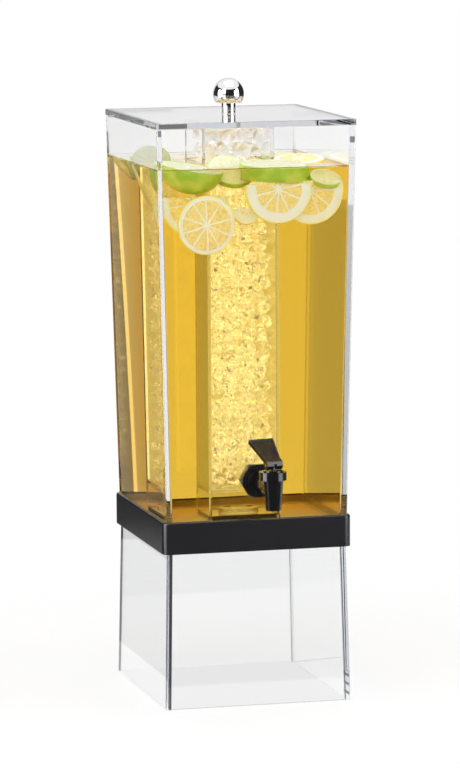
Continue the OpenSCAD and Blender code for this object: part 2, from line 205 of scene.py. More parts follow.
pale_floor, shader = new_finish("pale_floor", {
    "Base Color": (0.9, 0.9, 0.9, 1), "Roughness": 0.8, "Specular IOR Level": 0})
place = add_node(shader, "ShaderNodeTexCoord", {})
distance = add_node(shader, "ShaderNodeVectorMath", {})
distance.operation = "LENGTH"
feed(place.outputs["Object"], distance.inputs[0])
far_share = ranged(distance.outputs["Value"], FADE_START, FADE_END, NEAR_WHITE, 1, smooth=True)
glow = add_node(shader, "ShaderNodeEmission", {})
mix_shaders(maths("MULTIPLY", far_share, seen_directly(shader)), shader, glow)
floor = stage_card("floor", level(0, -FLOOR_REACH, FLOOR_REACH, -FLOOR_REACH, FLOOR_REACH), pale_floor)
print(floor.name, "is white from", FADE_END, "m on")

# %% [markdown]
# ## Lamps and cards
#
# Two large soft lamps stand left and right of the camera and one hangs above. The rest of the light play
# comes from cards, as in any picture of glassware. Neither the camera nor the floor sees them, but
# polished edges, the chrome ball and the black tap mirror them, and some are seen through the walls.
#
# A ring of dark cards behind the camera stands for the room. It is dark only in reflections: to a ray that
# just went through the glass it is white, or the whole box would look smoked. Two bright cards are soft
# boxes, and the rest give edges and walls their darker and paler fields. To matt things all are white.

# %% Lamps
LAMPS = {
    "lamp_left": ((-1.7, -1.5, 1.3), 1.0, 1.5, 16),
    "lamp_right": ((1.9, -1.2, 1.2), 0.8, 1.4, 9),
    "lamp_top": ((0.0, -0.2, 2.2), 1.4, 1.4, 12),
}
LAMP_AIM = Vector((0, 0, 0.35))
for name, (spot, width, height, watts) in LAMPS.items():
    lamp_data = bpy.data.lights.new(name, "AREA")
    lamp_data.shape, lamp_data.size, lamp_data.size_y = "RECTANGLE", width, height
    lamp_data.energy = watts
    lamp = bpy.data.objects.new(name, lamp_data)
    lamp.location = spot
    lamp.rotation_mode = "QUATERNION"
    lamp.rotation_quaternion = (LAMP_AIM - Vector(spot)).to_track_quat("-Z", "Y")
    scene.collection.objects.link(lamp)
print(len(LAMPS), "lamps")

# %% Dark room
WHITE, GOLDEN = (1, 1, 1), (1, 0.78, 0.47)
ROOM_RADIUS, ROOM_STEP = 2.7, 15
ROOM_TIERS = (("low", -0.3, 0.6), ("high", 0.6, 2.4))


def card_finish(name, brightness, colour, mirrored_only):
    """A card as bright as it is told to be, but white to matt things.

    One that is mirrored only is white as well to rays that were bent but never thrown back.
    """
    material, shader = new_finish(name, {})
    path = add_node(shader, "ShaderNodeLightPath", {})
    strength = ranged(path.outputs["Diffuse Depth"], 0, 1, brightness, 1)
    if mirrored_only:
        strength = maths("MAXIMUM", strength, ranged(path.outputs["Glossy Depth"], 0, 1, 1, 0))
    glow = add_node(shader, "ShaderNodeEmission", {"Color": (*colour, 1), "Strength": strength})
    nodes = material.node_tree.nodes
    nodes.remove(shader)
    feed(glow.outputs[0], nodes["Material Output"].inputs["Surface"])
    return material


def card(name, corners, brightness, mirrored=True, seen_through=False, colour=WHITE, mirrored_only=False):
    """A card that only reflections see, or refractions, but neither the camera nor the floor."""
    made = stage_card(name, corners, card_finish(name, brightness, colour, mirrored_only))
    made.visible_camera = made.visible_diffuse = made.visible_shadow = made.visible_volume_scatter = False
    made.visible_glossy, made.visible_transmission = mirrored, seen_through


def upright(start, end, z_low, z_high):
    """The corners of an upright card over a line on the floor."""
    return [(*start, z_low), (*end, z_low), (*end, z_high), (*start, z_high)]


room_turns = [math.radians(a) for a in range(-105, 105, ROOM_STEP)]
for number, turn in enumerate(room_turns):
    both = (turn, turn + math.radians(ROOM_STEP))
    ends = [(ROOM_RADIUS * math.sin(t), -ROOM_RADIUS * math.cos(t)) for t in both]
    for tier, low, high in ROOM_TIERS:
        card(f"dark_room_{tier}_{number}", upright(*ends, low, high), 0.02,
             seen_through=tier == "low", mirrored_only=True)
card("dark_table", level(0.002, -3, 3, -3, -0.25), 0.03, seen_through=True, mirrored_only=True)
print(len(ROOM_TIERS) * len(room_turns), "cards make the room")

# %% Cards for reflections and for looking through
MIRRORED = [
    ("dark_behind_left", [(-1.3, 1, 0), (-0.15, 1, 0), (-0.15, 1, 0.545), (-0.7, 1, 0.33), (-1.3, 1, 0.33)],
     0.04),
    ("dark_table_left", level(0.003, -1.3, -0.33, -0.1, 1), 0.04),
    ("pale_table_left", level(0.003, -0.33, -0.14, -0.1, 1), 0.52),
    ("pale_behind_left", upright((-1.3, 1.01), (-0.15, 1.01), 0.33, 0.68), 0.6),
    ("pale_above", upright((-1.5, 1.1), (2.0, 1.1), 0.68, 1.5), 0.77),
    ("soft_box_left", upright((-0.89, -0.556), (-1.046, 0.09), 0.02, 1.08), 6),
    ("soft_box_right", upright((0.6, -1.04), (1.105, -0.47), 0.02, 1.1), 4),
    ("dark_side_left", upright((-1.09, 0.134), (-0.55, 0.953), 0.05, 1.25), 0.03),
    ("dark_side_right", upright((1.09, -0.134), (0.707, 0.843), 0.05, 1.25), 0.03),
]
FAR_LOW, FAR_HIGH = -0.2, 0.62
split_low, split_high = (1.2934, 0.608, FAR_LOW), (1.2515, 0.692, FAR_HIGH)
slit_low, slit_high = (1.2964, 0.6017, FAR_LOW), (1.2546, 0.6857, FAR_HIGH)
SEEN_THROUGH = [
    ("grey_behind_left", upright((-0.7, 1.0), (-0.128, 1.0), 0.05, 0.46), 0.62, WHITE),
    ("shaded_table", level(0.001, -0.1, 0.1, -0.112, 0.112), 0.87, WHITE),
    ("dark_far_right", [(0.95, 1.3, FAR_LOW), split_low, split_high, (0.95, 1.3, FAR_HIGH)], 0.4, GOLDEN),
    ("bright_far_right", [split_low, slit_low, slit_high, split_high], 1.9, GOLDEN),
    ("pale_far_right", [slit_low, (1.7, -0.2, FAR_LOW), (1.7, -0.2, FAR_HIGH), slit_high], 0.95, GOLDEN),
    ("dark_behind_lid_0", upright((0.10, 1.0), (0.180, 1.0), 0.541, 0.549), 0.28, WHITE),
    ("dark_behind_lid_1", upright((-0.20, 1.0), (-0.130, 1.0), 0.541, 0.549), 0.28, WHITE),
]
for name, outline, brightness in MIRRORED:
    card(name, outline, brightness)
for name, outline, brightness, colour in SEEN_THROUGH:
    card(name, outline, brightness, mirrored=False, seen_through=True, colour=colour)
print(len(MIRRORED), "cards are mirrored and", len(SEEN_THROUGH), "are seen through the walls")

# %% [markdown]
# ## Shells with rounded corners
#
# The stand, the ring, the box, the tube, the lid and even the drink are all the same kind of form: a
# rounded rectangle that changes its size with height. One helper draws such a rectangle as a ring of
# points, another softens the corners of the section, and a third skins ring after ring into a closed
# shell. A cube with bevels would need more clean-up, because the walls lean outwards.
#
# Weighted normals then keep the broad faces optically flat, so that only the small rounded edges bend
# the light. On clear plastic this matters more than anywhere else.

# %% Helpers for shells
CORNER_STEPS, EDGE_STEPS = 8, 4
LEAST_RADIUS = 0.0005
QUARTERS = ((1, 1), (-1, 1), (-1, -1), (1, -1))


def rectangle_ring(size, radius, z):
    """Points round a rectangle with round corners, seen from above."""
    radius = max(radius, LEAST_RADIUS)
    points = []
    for quarter, (sx, sy) in enumerate(QUARTERS):
        middle = Vector((sx * (size[0] / 2 - radius), sy * (size[1] / 2 - radius), z))
        for step in range(CORNER_STEPS + 1):
            turn = math.radians(90 * (quarter + step / CORNER_STEPS))
            points.append(middle + radius * Vector((math.cos(turn), math.sin(turn), 0)))
    return points


def soften(section, closed):
    """Rounds the corners of a section given as (inset, height, radius)."""
    softened = []
    count = len(section)
    for i, (inset, height, radius) in enumerate(section):
        corner = Vector((inset, height))
        at_end = not closed and i in (0, count - 1)
        if radius == 0 or at_end:
            softened.append(corner)
            continue
        before = Vector(section[i - 1][:2]) - corner
        after = Vector(section[(i + 1) % count][:2]) - corner
        start = corner + before.normalized() * radius
        stop = corner + after.normalized() * radius
        for step in range(EDGE_STEPS + 1):
            t = step / EDGE_STEPS
            softened.append((1 - t) ** 2 * start + 2 * t * (1 - t) * corner + t * t * stop)
    return softened


def skin(rings, closed=False):
    """Walls between rings of points, with the two ends capped or joined to each other."""
    form = bmesh.new()
    loops = [[form.verts.new(p) for p in ring] for ring in rings]
    following = loops[1:] + loops[:1] if closed else loops[1:]
    for low, high in zip(loops, following):
        count = max(len(low), len(high))
        for i in range(count):
            j = (i + 1) % count
            corners = [low[i % len(low)], low[j % len(low)], high[j % len(high)], high[i % len(high)]]
            form.faces.new(list(dict.fromkeys(corners)))
    if not closed:
        for end in (loops[0], loops[-1]):
            if len(end) > 2:
                form.faces.new(end)
    bmesh.ops.recalc_face_normals(form, faces=form.faces)
    return form


def grown(size, amount):
    """A rectangle's size with an amount added on each side."""
    return Vector((size[0] + 2 * amount, size[1] + 2 * amount))


def shell(section, size_at, corner_radius, closed=False):
    """A shell from a section of (inset, height, radius) under an outside that may change with height."""
    rings = [rectangle_ring(grown(size_at(height), -inset), corner_radius - inset, height)
             for inset, height in soften(section, closed)]
    return skin(rings, closed)


def circle(radius, z, steps):
    """Points round a circle on the upright axis."""
    turns = [2 * math.pi * i / steps for i in range(steps)]
    return [Vector((radius * math.cos(turn), radius * math.sin(turn), z)) for turn in turns]


def turned(profile, steps=64, bored=False):
    """A form turned on a lathe: (radius, height) along its section, round the upright axis."""
    rings = [circle(radius, z, steps) if radius else [Vector((0, 0, z))] for radius, z in profile]
    return skin(rings, closed=bored)


def rod(radius, low, high):
    """A plain turned rod, to cut with."""
    return turned([(0, low), (radius, low), (radius, high), (0, high)])


print("a test rectangle has", len(rectangle_ring((0.2, 0.2), 0.01, 0)), "points")

# %% Helpers for pieces
def as_object(name, form):
    """Puts a form into the scene as an object."""
    data = bpy.data.meshes.new(name)
    form.to_mesh(data)
    form.free()
    piece = bpy.data.objects.new(name, data)
    scene.collection.objects.link(piece)
    return piece


def settle(piece):
    """Turns the piece's modifiers into its plain mesh."""
    graph = bpy.context.evaluated_depsgraph_get()
    mesh = bpy.data.meshes.new_from_object(piece.evaluated_get(graph))
    piece.modifiers.clear()
    piece.data = mesh
    mesh.name = piece.name
    return piece


def even_faces(piece):
    """Smooth shading that leaves broad faces flat."""
    piece.data.shade_smooth()
    modifier = piece.modifiers.new("Even faces", "WEIGHTED_NORMAL")
    modifier.weight = 100
    return settle(piece)


def combine(piece, other, operation):
    """Joins another form to the piece, or cuts it away, and removes the other."""
    modifier = piece.modifiers.new("Combine", "BOOLEAN")
    modifier.object, modifier.operation, modifier.solver = other, operation, "EXACT"
    settle(piece)
    bpy.data.objects.remove(other)


def dress(piece, body, material, replaced=()):
    """Gives a finished piece its material and its place among the moving bodies."""
    piece.data.materials.clear()
    piece.data.materials.append(material)
    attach(piece, body)
    if replaced:
        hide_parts(*replaced)
    print(f"{piece.name}: {len(piece.data.polygons)} faces on {body}")


print("the CAD model has", len(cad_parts), "nodes to keep or replace")

# %% [markdown]
# ## Clear acrylic
#
# Acrylic lets nearly all light through in a thickness of a few millimetres, but light that runs along a
# sheet, from edge to edge, comes out greyer. A volume that absorbs a little gives exactly that: faces
# stay clear and edges turn grey-lavender. The surface is polished, with faint wiping marks that
# only change its roughness by a trace.
#
# There are three of it. Stand and lid are greyer along the sheet than the box. And a piece that is sunk in
# the drink bends light by the ratio of the two, because that is all that a ray meets there.

# %% Helpers for finishes
def object_noise(shader, scale, detail=2.0, stretch=(1, 1, 1)):
    """Noise over Object coordinates, stretched along the axes."""
    place = add_node(shader, "ShaderNodeTexCoord", {})
    mapping = add_node(shader, "ShaderNodeMapping", {"Vector": place.outputs["Object"], "Scale": stretch})
    noise = add_node(shader, "ShaderNodeTexNoise", {
        "Vector": mapping.outputs["Vector"], "Scale": scale, "Detail": detail})
    return noise.outputs["Fac"]


def object_height(shader):
    """The height of a point over the table."""
    place = add_node(shader, "ShaderNodeTexCoord", {})
    return add_node(shader, "ShaderNodeSeparateXYZ", {"Vector": place.outputs["Object"]}).outputs["Z"]


def uneven(shader, scale, low, high, detail=3, span=(0.3, 0.7), stretch=(1, 1, 1)):
    """Roughness that wanders between two values."""
    feed(ranged(object_noise(shader, scale, detail, stretch), *span, low, high), shader.inputs["Roughness"])


def bump(shader, height, strength, distance):
    """Small bumps from a height."""
    node = add_node(shader, "ShaderNodeBump", {"Strength": strength, "Distance": distance, "Height": height})
    feed(node.outputs["Normal"], shader.inputs["Normal"])


def absorb(shader, colour, density):
    """Colour that deepens with the way through the piece."""
    node = add_node(shader, "ShaderNodeVolumeAbsorption", {"Color": (*colour, 1), "Density": density})
    feed(node.outputs["Volume"], node.id_data.nodes["Material Output"].inputs["Volume"])


def clear_finish(name, bending):
    """A finish that lets all light through and bends it."""
    return new_finish(name, {"Base Color": (1, 1, 1, 1), "Transmission Weight": 1, "IOR": bending})


print("helpers for finishes are ready")

# %% Clear acrylic
ACRYLIC_IOR, DRINK_IOR, ICE_IOR = 1.49, 1.34, 1.31


def acrylic_finish(name, density, bending=ACRYLIC_IOR):
    """Polished clear plastic, greyer along the sheet the denser it is."""
    material, shader = clear_finish(name, bending)
    uneven(shader, 30, 0, 0.012, span=(0.45, 0.75), stretch=(1, 1, 0.3))
    absorb(shader, (0.76, 0.78, 0.81), density)
    return material


acrylic = acrylic_finish("clear_acrylic", 2)
grey_acrylic = acrylic_finish("clear_acrylic_stand", 7)
sunk_acrylic = acrylic_finish("clear_acrylic_in_drink", 2, ACRYLIC_IOR / DRINK_IOR)
print(acrylic.name, "bends light by", ACRYLIC_IOR)

# %% [markdown]
# ## Stand
#
# The stand is a bottomless box of acrylic sheet, a little wider at the floor. Its section is one upright
# strip with polished edges, carried round a rounded rectangle.
#
# Where two sheets meet, the joint shows as a dark line, wider or finer by the corner. Each is a thin strip
# of cement. Two more dark strips along the foot are painted shadow: the dark lines under the back and the
# right wall.

# %% Stand
SLOPE = math.tan(math.radians(1.26))
SHEET, SHEET_CORNER, EDGE = 0.006, 0.0015, 0.0005
RING_SIZE = Vector((0.20392, 0.22692))
RING_LOW, RING_TOP = 0.165, 0.199
SHELF_LOW, SEAT = 0.178, 0.183
STAND_INSET = 0.0051


def stand_size(z):
    """The stand's outside at a height."""
    return grown(RING_SIZE, -STAND_INSET + SLOPE * (RING_LOW - z))


stand_section = [(0, 0, EDGE), (0, SHELF_LOW, EDGE), (SHEET, SHELF_LOW, EDGE), (SHEET, 0, EDGE)]
stand = even_faces(as_object("stand_box", shell(stand_section, stand_size, SHEET_CORNER, closed=True)))
dress(stand, "base", grey_acrylic, ["stand"])

# %% Stand seams and painted shadow at the foot
SEAM_INSET, FOOT_LINE = 0.0004, 0.0011
SEAM_WIDTHS = (0.0003, 0.0012, 0.0026, 0.0003)
cement_and_shadow, shader = new_finish("cement_line", {"Base Color": (0.09, 0.09, 0.11, 1)})
uneven(shader, 300, 0.35, 0.5)
dark_strips = bmesh.new()


def add_strip(low, high):
    """Adds a strip between two sets of four corners to the dark strips of cement and painted shadow."""
    strip = skin([low, high])
    strip_data = bpy.data.meshes.new("strip")
    strip.to_mesh(strip_data)
    strip.free()
    dark_strips.from_mesh(strip_data)


def strip_end(xs, ys, z):
    """The four corners of a strip at a height."""
    return [Vector(corner) for corner in level(z, *xs, *ys)]


def joint_corner(z):
    """The inner corner of the stand's sheets, as x and y."""
    return stand_size(z) / 2 - Vector((SHEET - SEAM_INSET, SHEET - SEAM_INSET))


for (sx, sy), seam in zip(QUARTERS, SEAM_WIDTHS):
    ends = []
    for z in (SEAM_INSET, SHELF_LOW - SEAM_INSET):
        inner = joint_corner(z)
        ends.append(strip_end([sx * inner[0], sx * (inner[0] + seam)],
                              [sy * inner[1], sy * (inner[1] + SHEET - 2 * SEAM_INSET)], z))
    add_strip(*ends)
# The two strips along the foot are painted shadow under the back and the right wall.
inner = joint_corner(0)
for xs, ys in (((-inner[0], inner[0]), (inner[1], inner[1] + FOOT_LINE)),
               ((inner[0], inner[0] + FOOT_LINE), (-inner[1], inner[1]))):
    add_strip(strip_end(xs, ys, SEAM_INSET), strip_end(xs, ys, 2 * SEAM_INSET))
dress(as_object("stand_seams", dark_strips), "base", cement_and_shadow)

# %% [markdown]
# ## Ring
#
# The ring is a black moulding that hides the joint. Its upper edge is well rounded, and inside it a shelf
# carries the reservoir. The plastic is satin: dark, with a fine grain that spreads its highlights.

# %% Ring
satin_black, shader = new_finish("satin_black", {"Base Color": (0.014, 0.014, 0.016, 1), "IOR": 1.5})
uneven(shader, 60, 0.22, 0.26)
bump(shader, object_noise(shader, 1400, 2), 0.12, 0.0002)

SHELF_REACH = 0.0184
RING_CORNER, SOCKET_CORNER = 0.008, 0.0019
RING_ROUNDING, RING_EASE = 0.003, 0.0006
SOCKET_TOP, SOCKET_LOW = 0.0036, 0.00395
SKIRT_TOP, SKIRT_LOW = 0.00529, 0.005
ring_section = [
    (0, RING_LOW, RING_EASE), (0, RING_TOP, RING_ROUNDING), (SOCKET_TOP, RING_TOP, EDGE),
    (SOCKET_LOW, SEAT, 0), (SHELF_REACH, SEAT, EDGE), (SHELF_REACH, SHELF_LOW, EDGE),
    (SKIRT_TOP, SHELF_LOW, 0), (SKIRT_LOW, RING_LOW, RING_EASE),
]
rings = [rectangle_ring(grown(RING_SIZE, -inset),
                        SOCKET_CORNER if inset > RING_ROUNDING else RING_CORNER - inset, height)
         for inset, height in soften(ring_section, closed=True)]
band = even_faces(as_object("black_band", skin(rings, closed=True)))
dress(band, "base", satin_black, ["base_ring"])

# %% [markdown]
# ## Reservoir
#
# The reservoir is one thick-walled box that leans outwards, with a low round boss in its floor that keeps
# the ice core in the middle. Box and boss are joined with a Boolean, and a second Boolean drills the hole
# for the tap.

# %% Reservoir
RIM, FLOOR = 0.610, 0.188
RIM_SIZE = Vector((0.214, 0.237))
BOSS_RADIUS, BOSS_HEIGHT, BOSS_LIP, BOSS_DISH = 0.0215, 0.012, 0.005, 0.0015
BOSS_EASE, BOSS_ROOT = 0.0006, 0.002
TAP_HEIGHT = 0.240
SHANK_HOLE, DRILL_REACH = 0.00825, 0.02


def reservoir_size(z):
    """The reservoir's outside at a height."""
    return grown(RIM_SIZE, -SLOPE * (RIM - z))


def facing_front(form, y):
    """Lays an upright form down, so that its top points to the front at the tap's height."""
    placed = Matrix.Translation((0, y, TAP_HEIGHT)) @ Matrix.Rotation(math.radians(90), 4, "X")
    bmesh.ops.transform(form, matrix=placed, verts=form.verts)
    return form


box_section = [(0.002, SEAT, 0), (0, SEAT, 0.0012), (0, RIM, EDGE), (SHEET, RIM, EDGE),
               (SHEET, FLOOR, 0.001), (SHEET + 0.004, FLOOR, 0)]
box = as_object("reservoir_box", shell(box_section, reservoir_size, SHEET_CORNER))

boss_top = FLOOR + BOSS_HEIGHT
dish_radius = BOSS_RADIUS - BOSS_LIP
boss_profile = [(0, FLOOR - BOSS_ROOT), (BOSS_RADIUS, FLOOR - BOSS_ROOT), (BOSS_RADIUS, boss_top - BOSS_EASE),
                (BOSS_RADIUS - 0.0002, boss_top - 0.0002), (BOSS_RADIUS - BOSS_EASE, boss_top),
                (dish_radius, boss_top), (dish_radius - BOSS_EASE, boss_top - BOSS_DISH),
                (0, boss_top - BOSS_DISH)]
combine(box, as_object("boss", turned(boss_profile)), "UNION")

front_wall = -reservoir_size(TAP_HEIGHT)[1] / 2
drill = facing_front(rod(SHANK_HOLE, -DRILL_REACH, DRILL_REACH), front_wall)
combine(box, as_object("drill", drill), "DIFFERENCE")
dress(even_faces(box), "reservoir", acrylic, ["container"])

# %% [markdown]
# ## Frosted floor
#
# In the picture the floor of the reservoir glows golden, where a polished floor would mirror the dark ring
# behind it. So it is frosted, with a thin pale skin in its underside that turns up at the walls, and a
# second one on top, because from low down a clear floor mirrors more than it lets through. Half of the
# finish is Translucent, for light from the table below, and half is matt, for light that comes down
# through the drink. A trace of glow stands for light that goes to and fro in the floor. Where the skin
# turns up the walls it is greyer and has no glow: painted shade for the darker band low on the walls.

# %% Frosted floor
FROST = 0.0004
FROST_TOP = RING_TOP - 0.0015
FROST_CAP, FROST_EASE = 0.02, 0.0002
FLOOR_END, WALL_START = SEAT + 0.0062, SEAT + 0.0082

frost_and_painted_light, shader = new_finish("frosted_underside", {"Emission Color": (1, 1, 1, 1)})
uneven(shader, 900, 0.7, 0.9)
bump(shader, object_noise(shader, 900, 3), 0.3, 0.0003)
passing = add_node(shader, "ShaderNodeBsdfTranslucent", {})
height = object_height(shader)
# The glow on the floor is painted light; the greyer colours on the walls are painted shade.
for socket, on_floor, on_walls in ((shader.inputs["Base Color"], 0.76, 0.5),
                                   (passing.inputs["Color"], 0.78, 0.5),
                                   (shader.inputs["Emission Strength"], 0.14, 0)):
    feed(ranged(height, FLOOR_END, WALL_START, on_floor, on_walls), socket)
mix_shaders(0.5, shader, passing)

frost_section = [(FROST_CAP, SEAT + FROST, 0), (FROST, SEAT + FROST, FROST_EASE), (FROST, FROST_TOP, 0),
                 (2 * FROST, FROST_TOP, 0), (2 * FROST, SEAT + 2 * FROST, FROST_EASE),
                 (FROST_CAP, SEAT + 2 * FROST, 0)]
veil_section = [(FROST_CAP, FLOOR + FROST / 2, 0), (SHEET + FROST, FLOOR + FROST / 2, 0),
                (SHEET + FROST, FLOOR + 1.5 * FROST, 0), (FROST_CAP, FLOOR + 1.5 * FROST, 0)]
for name, section in (("floor_frosting", frost_section), ("floor_veil", veil_section)):
    frost = as_object(name, shell(section, reservoir_size, SHEET_CORNER))
    dress(even_faces(frost), "reservoir", frost_and_painted_light)

# %% [markdown]
# ## Ice core
#
# The core is a square acrylic tube that stands round the boss. A shelf inside keeps the ice above the
# floor. The shelf reaches a hair into the walls, so that no film of air is left between two clear
# pieces, which would shine like a mirror.
#
# Through the left wall one corner of the tube shows as a bright upright line. A bead in that corner, with
# a glow that wanders a little along it, is a painted highlight that draws the line.

# %% Ice core
CORE_SIZE = Vector((0.078, 0.078))
CORE_WALL, CORE_CORNER, CORE_TOP = 0.0035, 0.0015, 0.603
ICE_SHELF, ICE_SHELF_TOP = 0.219, 0.224
core_section = [(0, FLOOR, EDGE), (0, CORE_TOP, EDGE), (CORE_WALL, CORE_TOP, EDGE), (CORE_WALL, FLOOR, EDGE)]
core = as_object("core_column", shell(core_section, lambda z: CORE_SIZE, CORE_CORNER, closed=True))
dress(even_faces(core), "core", acrylic, ["core_tube"])

# %% Painted highlight in the core's corner
BEAD, BEAD_TOP, BEAD_GAP = 0.0026, 0.560, 0.0005
# The bead's pale colour and its glow are a painted highlight.
corner_highlight_finish, shader = new_finish("bright_bead", {
    "Base Color": (0.9, 0.9, 0.86, 1), "Emission Color": (1, 1, 0.94, 1)})
wander = object_noise(shader, 60, 2, (1, 1, 0.4))
feed(ranged(wander, 0.3, 0.7, 0.95, 1.35), shader.inputs["Emission Strength"])
corner = CORE_SIZE[0] / 2 - CORE_WALL - 0.0002
bead_section = [(0, 0), (BEAD, 0), (0.75 * BEAD, 0.5 * BEAD), (0.5 * BEAD, 0.75 * BEAD), (0, BEAD)]
corner_highlight = as_object("core_seam", skin([[Vector((x - corner, corner - y, z)) for x, y in bead_section]
                                    for z in (ICE_SHELF_TOP + BEAD_GAP, BEAD_TOP)]))
dress(corner_highlight, "core", corner_highlight_finish)

# %% Ice shelf
OVERLAP = 0.0003
BORE_CORNER, BORE_CAP = 0.001, 0.0005
bore = grown(CORE_SIZE, -CORE_WALL + OVERLAP)


def bore_block(low, high, ease):
    """A block that fills the tube from wall to wall."""
    section = [(BORE_CAP, low, 0), (0, low, ease), (0, high, ease), (BORE_CAP, high, 0)]
    return shell(section, lambda z: bore, BORE_CORNER)


shelf = even_faces(as_object("ice_shelf", bore_block(ICE_SHELF, ICE_SHELF_TOP, 0.0003)))
dress(shelf, "core", acrylic, ["ice_floor"])

# %% [markdown]
# ## Lid
#
# The lid is a plain sheet of the same acrylic with polished edges. It is drilled in the middle for the
# screw of the knob, and the hole hugs the screw, because an open hole would show as a dark tube.

# %% Lid
LID_SIZE = Vector((0.215, 0.238))
LID_TOP, LID_CORNER, LID_EASE, LID_CAP = 0.616, 0.003, 0.0006, 0.004
LID_HOLE, LID_DRILL_REACH = 0.0024, 0.01
lid_section = [(LID_CAP, RIM, 0), (0, RIM, LID_EASE), (0, LID_TOP, LID_EASE), (LID_CAP, LID_TOP, 0)]
lid = as_object("lid_sheet", shell(lid_section, lambda z: LID_SIZE, LID_CORNER))
lid_drill = rod(LID_HOLE, RIM - LID_DRILL_REACH, LID_TOP + LID_DRILL_REACH)
combine(lid, as_object("lid_drill", lid_drill), "DIFFERENCE")
dress(even_faces(lid), "lid", grey_acrylic, ["lid_plate"])

# %% [markdown]
# ## Knob
#
# A chrome ball on a short neck is turned on a lathe, so its section is spun round the upright axis. Small
# rounded edges between foot, neck and ball catch the light as fine lines. The foot stands a hair off the
# lid, because two faces in one place would flicker.

# %% Knob
chrome, shader = new_finish("polished_chrome", {"Base Color": (0.86, 0.86, 0.87, 1), "Metallic": 1})
uneven(shader, 220, 0.025, 0.06, span=(0.4, 0.8))

BALL_CENTRE, BALL_RADIUS, BALL_FLAT = 0.6375, 0.0167, 0.628
BALL_STEPS, BALL_ROUND = 48, 96
NECK_RADIUS, NECK_LOW = 0.0075, 0.6196
SCREW_ROOM = 0.0025 + 0.0002
FOOT_GAP, KNOB_EASE = 0.00015, 0.0004


def bar(low, high):
    """A bored bar with eased ends."""
    ease, slight = KNOB_EASE, 0.3 * KNOB_EASE
    outside = [(NECK_RADIUS - ease, low), (NECK_RADIUS - slight, low + slight), (NECK_RADIUS, low + ease),
               (NECK_RADIUS, high - ease), (NECK_RADIUS - slight, high - slight), (NECK_RADIUS - ease, high)]
    return turned([(SCREW_ROOM, low), *outside, (SCREW_ROOM, high)], bored=True)


foot = as_object("knob_foot_ring", bar(LID_TOP + FOOT_GAP, NECK_LOW))
neck = as_object("knob_neck_bar", bar(NECK_LOW, BALL_FLAT))
flat_turn = math.asin((BALL_FLAT - BALL_CENTRE) / BALL_RADIUS)
ball_profile = [(0, BALL_FLAT)]
for step in range(BALL_STEPS + 1):
    turn = flat_turn + (math.pi / 2 - flat_turn) * step / BALL_STEPS
    ball_profile.append((BALL_RADIUS * math.cos(turn) if step < BALL_STEPS else 0,
                         BALL_CENTRE + BALL_RADIUS * math.sin(turn)))
ball = as_object("knob_ball_chrome", turned(ball_profile, BALL_ROUND))
for piece, node in ((foot, "knob_foot"), (neck, "knob_neck"), (ball, "knob_ball")):
    dress(even_faces(piece), "lid", chrome, [node])

# %% [markdown]
# ## Tap
#
# The CAD model already has the tap's real shapes. What a moulding has besides is eased edges, because no
# mould is sharp. So each tap piece is a copy of its CAD node: the loose triangles are merged, flat
# neighbours are dissolved into whole faces, and a Bevel modifier eases the edges that turn sharply. A
# weight on each edge says how much: the round steps at the front of the flange are rolled, and all other
# edges are only broken. A cone cuts the corners of the hexagon, as on a real nut.

# %% Tap finish and eased edges
gloss_black, shader = new_finish("gloss_black", {"Base Color": (0.008, 0.008, 0.009, 1), "IOR": 1.52})
uneven(shader, 180, 0.09, 0.16)
bump(shader, object_noise(shader, 500, 2), 0.05, 0.0003)

ROLLED = 0.0022
SHARP, FLAT = math.radians(32), math.radians(0.5)
SAME_PLACE, SAME_PLANE = 2e-6, 1e-5
FLANGE_FRONT, FLANGE_NOSE = -0.1195, -0.126
FLANGE_INNER, FLANGE_OUTER = 0.012, 0.0163


def round_flange(side):
    """True for the outer edges of the round steps at the front of the flange."""
    one, other = (end.co for end in side.verts)
    reach = [math.hypot(p.x, p.z - TAP_HEIGHT) for p in (one, other)]
    level_edge = side.is_convex and abs(one.y - other.y) < SAME_PLANE
    return (level_edge and FLANGE_NOSE < one.y < FLANGE_FRONT
            and min(reach) > FLANGE_INNER and max(reach) < FLANGE_OUTER)


def eased_copy(node, name, edge, trim=None):
    """A CAD node's shape with its sharp edges eased, and rolled where they run round the flange's front."""
    form = bmesh.new()
    form.from_mesh(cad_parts[node].data)
    bmesh.ops.remove_doubles(form, verts=form.verts, dist=SAME_PLACE)
    bmesh.ops.dissolve_limit(form, angle_limit=FLAT, verts=form.verts, edges=form.edges)
    piece = as_object(name, form)
    if trim:
        combine(piece, trim, "INTERSECT")
    form = bmesh.new()
    form.from_mesh(piece.data)
    weight = form.edges.layers.float.new("bevel_weight_edge")
    for side in form.edges:
        if len(side.link_faces) == 2 and side.calc_face_angle() > SHARP:
            side[weight] = 1 if round_flange(side) else edge / ROLLED
    form.to_mesh(piece.data)
    form.free()
    modifier = piece.modifiers.new("Eased edges", "BEVEL")
    modifier.width, modifier.segments, modifier.limit_method = ROLLED, 4, "WEIGHT"
    return even_faces(piece)


print("sharp edges turn by more than", round(math.degrees(SHARP)), "degrees")

# %% Tap
HEX_BACK = front_wall - 0.0022
HEX_CONE = [(0, -0.004), (0.0222, -0.004), (0.0222, 0.002), (0.0172, 0.006), (0.016, 0.00696), (0, 0.00696)]
hex_trim = as_object("hex_trim", facing_front(turned(HEX_CONE), HEX_BACK))
for node, name, edge, trim in (("tap_body", "tap_spout", 0.0007, None),
                               ("tap_collar", "tap_hex", 0.0007, hex_trim),
                               ("bonnet", "tap_cap", 0.0004, None), ("lock_nut", "tap_nut", 0.0006, None)):
    dress(eased_copy(node, name, edge, trim), "reservoir", gloss_black, [node])
dress(eased_copy("lever", "tap_lever", 0.0005), "lever", gloss_black, ["lever"])

